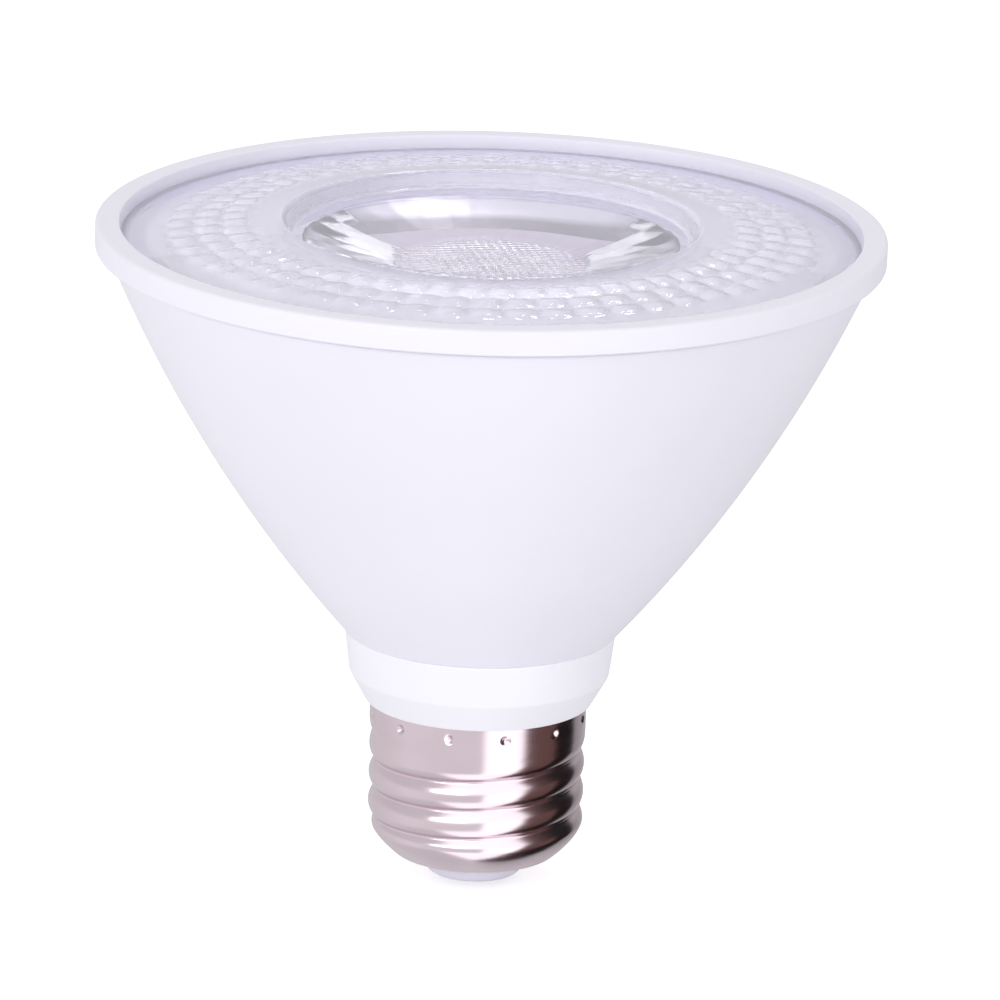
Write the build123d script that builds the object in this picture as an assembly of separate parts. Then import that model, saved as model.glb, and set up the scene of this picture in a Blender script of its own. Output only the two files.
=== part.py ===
"""Spot lamp with a flat clear front and a medium screw base, as the pieces it is assembled from.

The axis is +Z. The tip of the centre contact is at z = 0 and the lens faces up.
Lengths are in millimetres and angles in degrees.
"""

import os
from math import atan2, cos, degrees, pi, sin, sqrt

from build123d import *

# Stack of heights, from the tip of the contact to the front ring
CONTACT_PROUD = 1.0
INSULATOR_DROP = 2.6
SHELL_H = 19.5
COLLAR_H = 8.85
HOUSING_H = 47.85
RING_H = 2.5

# Clearances
SLIP = 0.1
PRESS = 0.02
AIR = 0.4

# Centre contact and insulator
CONTACT_HEAD_R = 2.4
CONTACT_EDGE = 0.3
CONTACT_STEM_R = 1.2
CONTACT_STEM_OUT = 1.5
INSULATOR_TIP_R = 5.7
INSULATOR_NECK_R = 6.4
INSULATOR_FLANGE_R = 9.0
INSULATOR_FLANGE_H = 1.2

# Screw shell with its rolled thread, seven turns to the inch
THREAD_PITCH = 25.4 / 7
THREAD_CREST_R = 13.15
THREAD_DEPTH = 0.9
THREAD_SHARE = 0.96
THREAD_SINK = 0.35
THREAD_TOP_ANGLE = 108.0
THREAD_TURNS = 4
SHELL_WALL = 0.45
HEEL_R = 9.8
HEEL_H = 3.3
BAND_R = 13.2
BAND_H = 5.1
BAND_EDGE = 0.3
CRIMPS = 12
CRIMP_FIRST_ANGLE = 15.3
CRIMP_R = 0.8
CRIMP_DEPTH = 0.3
CRIMP_DROP = 1.5

# Neck collar
COLLAR_TOP_R = 16.5
COLLAR_WAIST_R = 15.85
COLLAR_FOOT_R = 13.85
COLLAR_FOOT_H = 3.6
COLLAR_ROUND_H = 0.8
COLLAR_ROUND_IN = 0.25
COLLAR_WALL = 1.35
COLLAR_TAIL_H = 10.7
COLLAR_SPIGOT_R = 14.1
COLLAR_SPIGOT_H = 5.0
SEAT_RISE = 0.9
UPPER_BORE_R = 13.0

# Bowl of the housing
HOUSING_FOOT_R = 16.5
HOUSING_WALL = 2.2
BOWL_SAGITTA = 2.3
LEDGE_W = 2.4
LEDGE_H = 2.0

# Front ring
RIM_R = 47.5
RIM_OVERHANG = 1.15
RING_SKIRT = 2.3
RING_LIP = 0.8
RING_BEVEL = 1.0
RING_EDGE = 0.35

# Lens plate, pillows and reflector body
LENS_EDGE_H = 1.2
LENS_RISE = 1.97
LENS_SINK = 0.8
RIDGE_R = 24.9
RIDGE_DRAFT = 0.5
RECESS_DEPTH = 2.0
REFLECTOR_TOP_R = 22.7
REFLECTOR_TIP_R = 11.4
REFLECTOR_H = 15.1
FACETS = 40
PILLOW_ROWS = 3
PILLOWS = 60
PILLOW_H = 0.4
PILLOW_SHARE = 0.86
PILLOW_INNER_MARGIN = 3.6
PILLOW_OUTER_MARGIN = 5.4

# LED board, its chips and screws, and the heat sink
LED_GAP = 1.0
CHIP_W = 3.0
CHIP_H = 0.7
OUTER_CHIPS = 8
OUTER_CHIP_RING_R = 7.2
INNER_CHIPS = 4
INNER_CHIP_RING_R = 2.8
LED_BOARD_R = 18.0
LED_BOARD_T = 1.6
SCREWS = 3
SCREW_RING_R = 15.0
SCREW_FIRST_ANGLE = -90.0
SCREW_R = 1.5
SCREW_HEAD_R = 2.6
SCREW_HEAD_H = 1.2
SINK_T = 3.0
SINK_WALL = 1.2
SINK_RIM_DROP = 4.0
SINK_SKIRT_R = 26.0
SINK_SKIRT_WALL = 2.0
SINK_SKIRT_H = 7.0

# Leads and the driver board
LEAD_R = 0.6
LEAD_LAP = 3.0
LED_LEAD_X = 11.3
LED_LEAD_LAP = 6.0
LED_LEAD_OUT = 0.5
NEUTRAL_X = 6.0
NEUTRAL_BEND_R = 1.5
BOARD_T = 1.6
BOARD_HALF_W = 12.4
TONGUE_HALF_W = 9.4
TONGUE_H = 10.0
BOARD_HEADROOM = 4.5

# Parts on the driver board
ELCO_R = 4.0
ELCO_L = 13.5
ELCO_X = 4.6
ELCO_RISE = 16.0
FILM_SIZE = (9.0, 5.0, 9.0)
FILM_RISE = 2.0
CHOKE_R = 3.5
CHOKE_H = 7.0
CHOKE_X = -4.2
VARISTOR_R = 3.6
VARISTOR_H = 3.4
VARISTOR_X = 4.6
MID_RISE = 7.0
FUSE_R = 1.6
FUSE_L = 8.0
FUSE_X = 5.0
FUSE_DROP = 9.0
RECTIFIER_SIZE = (4.8, 2.4, 4.0)
RECTIFIER_DROP = 7.0
DRIVER_CHIP_SIZE = (5.0, 1.5, 4.0)
DRIVER_CHIP_RISE = 12.0
DIODE_SIZE = (4.4, 2.2, 2.6)
DIODE_RISE = 12.2
CORE_W = 13.0
CORE_T = 6.0
CORE_LEG = 3.4
CORE_YOKE = 2.0
CORE_STANDOFF = 1.0
CORE_RISE = 17.5
WINDING_BULGE = 1.0

# Levels and radii that follow from the values above
insulator_z = CONTACT_PROUD
shell_z = insulator_z + INSULATOR_DROP
collar_z = shell_z + SHELL_H
housing_z = collar_z + COLLAR_H
ring_z = housing_z + HOUSING_H
top_z = ring_z + RING_H
band_z = collar_z - BAND_H
band_floor_z = band_z + SHELL_WALL
heel_z = shell_z + HEEL_H
seat_z = collar_z + SEAT_RISE
tail_z = collar_z - COLLAR_TAIL_H
thread_root_r = THREAD_CREST_R - THREAD_DEPTH
shell_bore_r = thread_root_r - SHELL_WALL
tail_r = shell_bore_r - SLIP
tail_bore_r = tail_r - COLLAR_WALL
housing_rim_r = RIM_R - RIM_OVERHANG
ring_bore_r = RIM_R - RING_SKIRT
lens_edge_z = ring_z + LENS_EDGE_H
lens_under_z = ring_z - LENS_SINK
ridge_z = lens_edge_z + LENS_RISE
recess_z = ridge_z - RECESS_DEPTH
reflector_z = recess_z - REFLECTOR_H
chip_z = reflector_z - LED_GAP - CHIP_H
led_board_z = chip_z - LED_BOARD_T
sink_z = led_board_z - SINK_T
board_top_z = sink_z - BOARD_HEADROOM
board_front_y = LEAD_R
board_back_y = board_front_y + BOARD_T
stem_z = shell_z + SHELL_WALL + INSULATOR_FLANGE_H + CONTACT_STEM_OUT
core_z = seat_z + CORE_RISE
side_leg = CORE_LEG / 2
window_w = (CORE_W - CORE_LEG - 2 * side_leg) / 2
lead_xs = (LED_LEAD_X, -LED_LEAD_X)
elco_z = seat_z + ELCO_RISE
elco_y = board_front_y - ELCO_R
fuse_z = seat_z - FUSE_DROP
led_lead_low = board_top_z - LED_LEAD_LAP
led_lead_high = chip_z + LED_LEAD_OUT


def turned(*outline):
    """A body of revolution from (radius, height) corners."""
    return revolve(make_face(Polyline([(r, 0, z) for r, z in outline], close=True)), Axis.Z)


def round_bar(radius, low, high, x=0.0, y=0.0):
    """A bar along Z between two heights."""
    return Pos(x, y, (low + high) / 2) * Cylinder(radius, high - low)


def around(count, shape, radius, first=0.0):
    """Copies of a shape, evenly spread on a circle about the axis."""
    step = 360.0 / count
    return [Rot(0, 0, first + step * i) * Pos(radius, 0, 0) * shape for i in range(count)]


def on_front(size, x, low):
    """A block on the front face of the driver board."""
    return Pos(x, board_front_y - size[1] / 2, low + size[2] / 2) * Box(*size)


def on_back(size, x, low):
    """A block on the back face of the driver board."""
    return Pos(x, board_back_y + size[1] / 2, low + size[2] / 2) * Box(*size)


def drum_on_back(radius, height, x, z):
    """A drum that stands on the back face of the driver board."""
    return Pos(x, board_back_y + height / 2, z) * Rot(90, 0, 0) * Cylinder(radius, height)


def bowl_centre():
    """The radius and centre of the arc that the bowl follows, in the XZ plane."""
    run = housing_rim_r - HOUSING_FOOT_R
    chord = sqrt(run**2 + HOUSING_H**2)
    radius = chord**2 / (8 * BOWL_SAGITTA) + BOWL_SAGITTA / 2
    back = radius - BOWL_SAGITTA
    centre_r = (HOUSING_FOOT_R + housing_rim_r) / 2 - back * HOUSING_H / chord
    centre_z = (housing_z + ring_z) / 2 + back * run / chord
    return radius, centre_r, centre_z


def bowl_radius(z, inset=0.0):
    """The radius of the bowl at a height, on its outside or set in by a wall."""
    radius, centre_r, centre_z = bowl_centre()
    return centre_r + sqrt((radius - inset) ** 2 - (z - centre_z) ** 2)


def bowl_solid(low, high, inset=0.0):
    """The solid inside the bowl between two heights."""
    heights = (low, (low + high) / 2, high)
    curve = ThreePointArc(*[(bowl_radius(z, inset), 0, z) for z in heights])
    ends = Polyline([curve @ 0, (0, 0, low), (0, 0, high), curve @ 1])
    return revolve(make_face([*curve.edges(), *ends.edges()]), Axis.Z)


def thread_ridge():
    """The rounded helical ridge of the screw shell, sunk into its root and run out at the heel."""
    height = THREAD_TURNS * THREAD_PITCH
    low = band_z + THREAD_PITCH / 2 - height
    half = THREAD_SHARE * THREAD_PITCH / 2
    sunk_r = thread_root_r - THREAD_SINK
    crest = ThreePointArc((sunk_r, 0, -half), (THREAD_CREST_R, 0, 0), (sunk_r, 0, half))
    section = make_face([*crest.edges(), *Line(crest @ 1, crest @ 0).edges()])
    ridge = sweep(section, path=Helix(THREAD_PITCH, height, thread_root_r), is_frenet=True)
    envelope = turned(
        (0, shell_z),
        (HEEL_R + SHELL_WALL, shell_z),
        (THREAD_CREST_R + SHELL_WALL, heel_z + THREAD_DEPTH),
        (THREAD_CREST_R + SHELL_WALL, collar_z),
        (0, collar_z),
    )
    return Pos(0, 0, low) * Rot(0, 0, THREAD_TOP_ANGLE) * ridge & envelope


def make_screw_shell():
    core = turned(
        (0, shell_z),
        (HEEL_R, shell_z),
        (thread_root_r, heel_z),
        (thread_root_r, collar_z),
        (0, collar_z),
    )
    band = turned(
        (0, band_z),
        (thread_root_r, band_z),
        (BAND_R, band_z + BAND_EDGE),
        (BAND_R, collar_z),
        (0, collar_z),
    )
    hollow = turned(
        (0, shell_z + SHELL_WALL),
        (HEEL_R - SHELL_WALL, shell_z + SHELL_WALL),
        (shell_bore_r, heel_z),
        (shell_bore_r, band_floor_z),
        (BAND_R - SHELL_WALL, band_floor_z),
        (BAND_R - SHELL_WALL, collar_z),
        (0, collar_z),
    )
    mouth = round_bar(INSULATOR_NECK_R + SLIP, shell_z, heel_z)
    crimp = Pos(0, 0, collar_z - CRIMP_DROP) * Sphere(CRIMP_R)
    crimps = around(CRIMPS, crimp, BAND_R + CRIMP_R - CRIMP_DEPTH, CRIMP_FIRST_ANGLE)
    return core + thread_ridge() + band - hollow - mouth - crimps


def make_base_insulator():
    inside_z = shell_z + SHELL_WALL
    return turned(
        (CONTACT_STEM_R + PRESS, insulator_z),
        (INSULATOR_TIP_R, insulator_z),
        (INSULATOR_NECK_R, shell_z),
        (INSULATOR_NECK_R, inside_z),
        (INSULATOR_FLANGE_R, inside_z),
        (INSULATOR_FLANGE_R, inside_z + INSULATOR_FLANGE_H),
        (CONTACT_STEM_R + PRESS, inside_z + INSULATOR_FLANGE_H),
    )


def make_centre_contact():
    return turned(
        (0, 0),
        (CONTACT_HEAD_R - CONTACT_EDGE, 0),
        (CONTACT_HEAD_R, CONTACT_EDGE),
        (CONTACT_HEAD_R, insulator_z),
        (CONTACT_STEM_R, insulator_z),
        (CONTACT_STEM_R, stem_z),
        (0, stem_z),
    )


def make_neck_collar():
    band_spigot_r = BAND_R - SHELL_WALL - SLIP
    band_spigot_z = band_floor_z + SLIP
    waist_z = collar_z + COLLAR_FOOT_H
    return turned(
        (tail_bore_r, tail_z),
        (tail_r, tail_z),
        (tail_r, band_spigot_z),
        (band_spigot_r, band_spigot_z),
        (band_spigot_r, collar_z),
        (COLLAR_FOOT_R, collar_z),
        (COLLAR_WAIST_R - COLLAR_ROUND_IN, waist_z - COLLAR_ROUND_H),
        (COLLAR_WAIST_R, waist_z),
        (COLLAR_TOP_R, housing_z),
        (COLLAR_SPIGOT_R, housing_z),
        (COLLAR_SPIGOT_R, housing_z + COLLAR_SPIGOT_H),
        (UPPER_BORE_R, housing_z + COLLAR_SPIGOT_H),
        (UPPER_BORE_R, seat_z),
        (tail_bore_r, seat_z),
    )


def make_housing():
    boss_z = housing_z + COLLAR_SPIGOT_H
    ledge_r = bowl_radius(sink_z - LEDGE_H, HOUSING_WALL)
    ledge = turned(
        (ledge_r - LEDGE_W, sink_z - LEDGE_H),
        (ledge_r + HOUSING_WALL / 2, sink_z - LEDGE_H),
        (ledge_r + HOUSING_WALL / 2, sink_z),
        (ledge_r - LEDGE_W, sink_z),
    )
    bore = round_bar(COLLAR_SPIGOT_R + SLIP, housing_z, boss_z)
    return bowl_solid(housing_z, ring_z) - bowl_solid(boss_z, ring_z, HOUSING_WALL) - bore + ledge


def make_front_ring():
    return turned(
        (ring_bore_r, ring_z),
        (RIM_R, ring_z),
        (RIM_R, top_z - RING_EDGE),
        (RIM_R - RING_EDGE, top_z),
        (ring_bore_r - RING_LIP + RING_BEVEL, top_z),
        (ring_bore_r - RING_LIP, lens_edge_z),
        (ring_bore_r, lens_edge_z),
    )


def facet_section(radius, z):
    """The many-sided outline of the reflector body at a height."""
    angles = [2 * pi * i / FACETS for i in range(FACETS)]
    return make_face(Polyline([(radius * cos(a), radius * sin(a), z) for a in angles], close=True))


def pillow_rows(lip_r):
    """Rings of low four-sided pillows that follow the slope of the lens."""
    inner = RIDGE_R + PILLOW_INNER_MARGIN
    outer = lip_r - PILLOW_OUTER_MARGIN
    pitch = (outer - inner) / PILLOW_ROWS
    slope = LENS_RISE / (lip_r - RIDGE_R)
    pillows = []
    for row in range(PILLOW_ROWS):
        radius = inner + (row + 0.5) * pitch
        z = ridge_z - slope * (radius - RIDGE_R)
        long = PILLOW_SHARE * pitch
        wide = PILLOW_SHARE * 2 * pi * radius / PILLOWS
        tall = 2 * PILLOW_H
        pillow = Wedge(long, tall, wide, 0.3 * long, 0.3 * wide, 0.7 * long, 0.7 * wide)
        placed = Pos(0, 0, z) * Rot(0, degrees(atan2(slope, 1)), 0) * Rot(90, 0, 0) * pillow
        pillows += around(PILLOWS, placed, radius)
    return pillows


def make_lens():
    lip_r = ring_bore_r - RING_LIP
    edge_r = ring_bore_r - SLIP
    sunk_r = bowl_radius(lens_under_z, HOUSING_WALL) - SLIP
    plate = turned(
        (0, lens_under_z),
        (sunk_r, lens_under_z),
        (sunk_r, ring_z),
        (edge_r, ring_z),
        (edge_r, lens_edge_z),
        (lip_r, lens_edge_z),
        (RIDGE_R, ridge_z),
        (RIDGE_R - RIDGE_DRAFT, recess_z),
        (0, recess_z),
    )
    top = facet_section(REFLECTOR_TOP_R, lens_under_z)
    tip = facet_section(REFLECTOR_TIP_R, reflector_z)
    return plate + pillow_rows(lip_r) + loft([tip, top], ruled=True)


def make_heat_sink():
    rim_z = lens_under_z - SINK_RIM_DROP
    foot_r = bowl_radius(sink_z, HOUSING_WALL) - AIR
    rim_r = bowl_radius(rim_z, HOUSING_WALL) - AIR
    floor_r = foot_r + (rim_r - foot_r) * SINK_T / (rim_z - sink_z) - SINK_WALL
    dish = turned(
        (0, sink_z),
        (foot_r, sink_z),
        (rim_r, rim_z),
        (rim_r - SINK_WALL, rim_z),
        (floor_r, led_board_z),
        (0, led_board_z),
    )
    skirt = round_bar(SINK_SKIRT_R, sink_z - SINK_SKIRT_H, sink_z)
    hollow = round_bar(SINK_SKIRT_R - SINK_SKIRT_WALL, sink_z - SINK_SKIRT_H, sink_z)
    screw_hole = round_bar(SCREW_R + PRESS, sink_z, led_board_z)
    screw_holes = around(SCREWS, screw_hole, SCREW_RING_R, SCREW_FIRST_ANGLE)
    lead_holes = [round_bar(LEAD_R + AIR, sink_z, led_board_z, x) for x in lead_xs]
    return dish + (skirt - hollow) - screw_holes - lead_holes


def make_led_board():
    disc = round_bar(LED_BOARD_R, led_board_z, chip_z)
    screw_hole = round_bar(SCREW_R + SLIP, led_board_z, chip_z)
    lead_holes = [round_bar(LEAD_R + AIR, led_board_z, chip_z, x) for x in lead_xs]
    return disc - around(SCREWS, screw_hole, SCREW_RING_R, SCREW_FIRST_ANGLE) - lead_holes


def make_led_chips():
    chip = Pos(0, 0, chip_z + CHIP_H / 2) * Box(CHIP_W, CHIP_W, CHIP_H)
    outer = around(OUTER_CHIPS, chip, OUTER_CHIP_RING_R)
    inner = around(INNER_CHIPS, chip, INNER_CHIP_RING_R)
    return Compound(outer + inner)


def make_board_screws():
    screw = turned(
        (0, sink_z),
        (SCREW_R, sink_z),
        (SCREW_R, chip_z),
        (SCREW_HEAD_R, chip_z),
        (SCREW_HEAD_R, chip_z + SCREW_HEAD_H),
        (0, chip_z + SCREW_HEAD_H),
    )
    return Compound(around(SCREWS, screw, SCREW_RING_R, SCREW_FIRST_ANGLE))


def make_driver_board():
    mid_y = (board_front_y + board_back_y) / 2
    tongue_z = seat_z - TONGUE_H
    wide = Box(2 * BOARD_HALF_W, BOARD_T, board_top_z - seat_z)
    narrow = Box(2 * TONGUE_HALF_W, BOARD_T, TONGUE_H)
    upper = Pos(0, mid_y, (board_top_z + seat_z) / 2) * wide
    return upper + Pos(0, mid_y, (seat_z + tongue_z) / 2) * narrow


def make_transformer_core():
    frame = on_back((CORE_W, CORE_T, CORE_W), 0, core_z)
    window_h = CORE_W - 2 * CORE_YOKE
    window = on_back((window_w, CORE_T, window_h), 0, core_z + CORE_YOKE)
    reach = (CORE_LEG + window_w) / 2
    return Pos(0, CORE_STANDOFF, 0) * (frame - Pos(reach, 0, 0) * window - Pos(-reach, 0, 0) * window)


def make_transformer_winding():
    width = CORE_LEG + 2 * (window_w - SLIP)
    height = CORE_W - 2 * (CORE_YOKE + SLIP)
    depth = CORE_STANDOFF + CORE_T + WINDING_BULGE
    coil = on_back((width, depth, height), 0, core_z + CORE_YOKE + SLIP)
    leg = on_back((CORE_LEG + 2 * PRESS, CORE_T + 2 * PRESS, CORE_W), 0, core_z)
    return coil - Pos(0, CORE_STANDOFF - PRESS, 0) * leg


def make_neutral_lead():
    bend_z = tail_z - NEUTRAL_BEND_R
    reach = sqrt(shell_bore_r**2 - LEAD_R**2) - PRESS
    start = (-NEUTRAL_X, 0, seat_z - TONGUE_H + LEAD_LAP)
    path = FilletPolyline([start, (-NEUTRAL_X, 0, bend_z), (-reach, 0, bend_z)], radius=NEUTRAL_BEND_R)
    return sweep(Plane(origin=start, z_dir=(0, 0, -1)) * Circle(LEAD_R), path=path)


nodes = {
    "front_ring": make_front_ring(),
    "lens": make_lens(),
    "housing": make_housing(),
    "neck_collar": make_neck_collar(),
    "screw_shell": make_screw_shell(),
    "base_insulator": make_base_insulator(),
    "centre_contact": make_centre_contact(),
    "heat_sink": make_heat_sink(),
    "led_board": make_led_board(),
    "led_chips": make_led_chips(),
    "board_screws": make_board_screws(),
    "driver_board": make_driver_board(),
    "transformer_core": make_transformer_core(),
    "transformer_winding": make_transformer_winding(),
    "input_capacitor": round_bar(ELCO_R, elco_z, elco_z + ELCO_L, ELCO_X, elco_y),
    "output_capacitor": round_bar(ELCO_R, elco_z, elco_z + ELCO_L, -ELCO_X, elco_y),
    "film_capacitor": on_front(FILM_SIZE, 0, seat_z + FILM_RISE),
    "filter_choke": drum_on_back(CHOKE_R, CHOKE_H, CHOKE_X, seat_z + MID_RISE),
    "surge_varistor": drum_on_back(VARISTOR_R, VARISTOR_H, VARISTOR_X, seat_z + MID_RISE),
    "fuse_resistor": round_bar(FUSE_R, fuse_z, fuse_z + FUSE_L, FUSE_X, board_front_y - FUSE_R),
    "rectifier": on_back(RECTIFIER_SIZE, 0, seat_z - RECTIFIER_DROP),
    "driver_chip": on_back(DRIVER_CHIP_SIZE, 0, seat_z + DRIVER_CHIP_RISE),
    "output_diode": on_front(DIODE_SIZE, 0, seat_z + DIODE_RISE),
    "live_lead": round_bar(LEAD_R, stem_z, seat_z - TONGUE_H + LEAD_LAP),
    "neutral_lead": make_neutral_lead(),
    "led_lead_positive": round_bar(LEAD_R, led_lead_low, led_lead_high, LED_LEAD_X),
    "led_lead_negative": round_bar(LEAD_R, led_lead_low, led_lead_high, -LED_LEAD_X),
}

os.makedirs("parts", exist_ok=True)
for name, shape in nodes.items():
    export_step(shape, f"parts/{name}.step")
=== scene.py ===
"""Looks of the spot lamp, built around its frame.

Lengths are in metres, in the frame's own axes: +Z is the lamp's axis and the lens faces up.
"""

from math import asin, cos, hypot, pi, radians, sin, sqrt, tan

import bmesh
import bpy
from mathutils import Matrix, Vector


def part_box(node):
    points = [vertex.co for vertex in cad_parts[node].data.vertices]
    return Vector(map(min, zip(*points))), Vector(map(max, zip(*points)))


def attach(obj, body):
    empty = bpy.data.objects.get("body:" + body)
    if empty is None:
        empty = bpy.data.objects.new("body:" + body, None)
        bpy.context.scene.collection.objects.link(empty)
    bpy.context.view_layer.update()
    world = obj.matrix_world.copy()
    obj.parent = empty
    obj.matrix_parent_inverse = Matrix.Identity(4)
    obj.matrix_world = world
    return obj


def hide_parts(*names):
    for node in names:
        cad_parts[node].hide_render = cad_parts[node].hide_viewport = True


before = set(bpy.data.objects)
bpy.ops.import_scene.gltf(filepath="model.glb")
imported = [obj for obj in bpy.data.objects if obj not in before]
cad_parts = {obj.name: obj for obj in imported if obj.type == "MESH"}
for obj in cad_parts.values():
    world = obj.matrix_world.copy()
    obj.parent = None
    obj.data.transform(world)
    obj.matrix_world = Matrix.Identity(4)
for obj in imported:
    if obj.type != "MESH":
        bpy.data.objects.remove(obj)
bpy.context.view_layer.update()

MM = 0.001

# Levels and radii read from the frame
insulator_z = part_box("base_insulator")[0].z
shell_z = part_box("screw_shell")[0].z
collar_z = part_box("screw_shell")[1].z
tail_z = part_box("neck_collar")[0].z
housing_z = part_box("housing")[0].z
spigot_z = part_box("neck_collar")[1].z
bowl_top_z, top_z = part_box("front_ring")[0].z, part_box("front_ring")[1].z
reflector_z, ridge_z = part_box("lens")[0].z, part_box("lens")[1].z
led_board_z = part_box("led_board")[0].z
rim_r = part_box("front_ring")[1].x
collar_top_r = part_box("neck_collar")[1].x
housing_rim_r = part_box("housing")[1].x
lens_edge_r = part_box("lens")[1].x

# Clearances and walls
SLIP = 0.1 * MM
SHELL_WALL = 0.45 * MM
HOUSING_WALL = 2.2 * MM
COLLAR_WALL = 1.35 * MM

# Front ring
RING_SKIRT = 2.3 * MM
RING_LIP = 0.8 * MM
RING_DROP = 0.55 * MM
RING_BEVEL = 0.2 * MM
RING_OUTER_EDGE = 0.5 * MM
RING_INNER_EDGE = 0.2 * MM
RING_FOOT_EDGE = 0.3 * MM

# Lens
LENS_EDGE_H = 1.45 * MM
LENS_SINK = 0.25 * MM
LENS_RIM_EDGE = 0.2 * MM
LENS_MILKY_W = 2.0 * MM
LENS_WELD_R = 41.2 * MM
RIDGE_R = 24.9 * MM
RIDGE_EDGE = 0.7 * MM
RIDGE_DRAFT = 0.9 * MM
RECESS_DEPTH = 2.0 * MM
RECESS_EDGE = 0.8 * MM
REFLECTOR_TOP_R = 22.7 * MM
REFLECTOR_TIP_R = 11.4 * MM
REFLECTOR_BULGE = 1.0 * MM
FACETS = 40
FACET_FADE_POWER = 8
PILLOW_ROWS = 3
PILLOWS = 56
PILLOW_SHIFTS = (0.0, 0.5, 0.5)
PILLOW_H = 0.32 * MM
PILLOW_INNER_R = 29.2 * MM
PILLOW_OUTER_R = 38.9 * MM
PILLOW_MARGIN = 0.02 * MM
LENSLET_PITCH = 1.0 * MM
LENSLET_H = 0.14 * MM
LENSLET_TURN = radians(12.0)
LENS_STEPS_PER_PILLOW = 8
LENS_TIP_ROWS = 60
LENS_WALL_ROWS = 14
LENS_EDGE_ROWS = 5
LENS_RIDGE_ROWS = 3
LENS_RECESS_ROWS = 6

# Bowl of the housing
HOUSING_FOOT_R = 16.5 * MM
HOUSING_FOOT_EDGE = 0.25 * MM
BOWL_SAGITTA = 2.3 * MM
LEDGE_W = 2.4 * MM
LEDGE_H = 2.0 * MM
SINK_T = 3.0 * MM
BOWL_ROWS = 48

# Neck collar
COLLAR_WAIST_R = 15.85 * MM
COLLAR_WAIST_EDGE = 1.0 * MM
COLLAR_FOOT_R = 13.85 * MM
COLLAR_FOOT_H = 3.6 * MM
COLLAR_FOOT_EDGE = 0.3 * MM
COLLAR_TOP_EDGE = 0.25 * MM
COLLAR_SPIGOT_R = 14.1 * MM
COLLAR_BORE_R = 13.0 * MM
SEAT_RISE = 0.9 * MM

# Screw shell, with a groove rolled down from its plain band. The place and half width of the rim
# round a crimp mark are in crimp radii.
THREAD_PITCH = 25.4 * MM / 7
THREAD_CREST_R = 13.15 * MM
THREAD_DEPTH = 0.9 * MM
GROOVE_DEPTH = 0.95 * MM
GROOVE_SOFT = 0.2 * MM
GROOVE_TOP_RISE = 1.8 * MM
GROOVE_START_ANGLE = radians(-80.0)
GROOVE_FADE = radians(200.0)
GROOVE_END = (3.25, 3.8)
HEEL_R = 9.8 * MM
HEEL_H = 4.4 * MM
HEEL_POWER = 1.6
HEEL_EDGE = 0.5 * MM
BAND_R = 13.2 * MM
BAND_H = 5.1 * MM
BAND_SEAT_RISE = 0.8 * MM
CRIMPS = 12
CRIMP_FIRST_ANGLE = radians(15.3)
CRIMP_R = 0.65 * MM
CRIMP_DEPTH = 0.35 * MM
CRIMP_POWER = 1.5
CRIMP_RIM = 0.04 * MM
CRIMP_RIM_AT = 1.2
CRIMP_RIM_HALF = 0.2
CRIMP_DROP = 1.5 * MM
SHELL_ROWS = 180
SHELL_SEGMENTS = 480

# Insulator and contact
INSULATOR_TIP_R = 5.7 * MM
INSULATOR_NECK_R = 6.4 * MM
INSULATOR_FLANGE_R = 9.0 * MM
INSULATOR_FLANGE_H = 1.2 * MM
INSULATOR_EDGE = 0.9 * MM
CONTACT_HEAD_R = 2.4 * MM
CONTACT_STEM_R = 1.2 * MM
CONTACT_DOME = 0.45 * MM
CONTACT_PLAY = 0.02 * MM

# Finishes: shared colours, noise in waves per metre and depths of relief
WHITE_LIGHT = (0.905, 0.89, 0.985)
WHITE_DARK = (0.885, 0.868, 0.965)
LENS_TINT = (0.915, 0.897, 1.0)
LENS_SHADE = (0.975, 0.965, 1.0)
CLOUD_LOW, CLOUD_HIGH = 0.3, 0.7
PLASTIC_IOR = 1.49
PLASTIC_GLOSS = (0.42, 0.55)
PLASTIC_CLOUDS = 45.0
PLASTIC_SHEEN = 320.0
PLASTIC_GRAIN = 5200.0
PLASTIC_GRAIN_DEPTH = 0.004 * MM
PLASTIC_WAVES = 90.0
PLASTIC_WAVE_DEPTH = 0.02 * MM
METAL_CLOUDS = 160.0
METAL_LINES = (60.0, 60.0, 2400.0)
METAL_LINE_DEPTH = 0.003 * MM
METAL_DENTS = 420.0
METAL_DENT_DEPTH = 0.004 * MM
METAL_ROLLS = (25.0, 25.0, 1300.0)
METAL_ROLL_DEPTH = 0.02 * MM
DISH_METALLIC = 0.4
# Radii over which the heat sink's dark painted shade round the axis gives way to its bare rim
DISH_SHADE_R = (23.8 * MM, 26.4 * MM)
DISH_WAVERS = 120.0
DISH_WAVER_W = 1.5 * MM
DISH_SHEEN = 400.0
DISH_GRAIN = 2600.0
DISH_GRAIN_DEPTH = 0.004 * MM
LENS_SHEEN = 240.0
LENS_WAVES = 110.0
LENS_WAVE_DEPTH = 0.01 * MM

# Camera, as the photograph shows the lamp
CAMERA_DISTANCE = 1.0
CAMERA_ELEVATION = radians(16.542)
CAMERA_ROLL = radians(1.675)
CAMERA_TARGET = Vector((1.9475 * MM, 0.0, 48.1 * MM))
CAMERA_SENSOR = 36.0
CAMERA_LENS = 8.26638 * CAMERA_SENSOR

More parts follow.
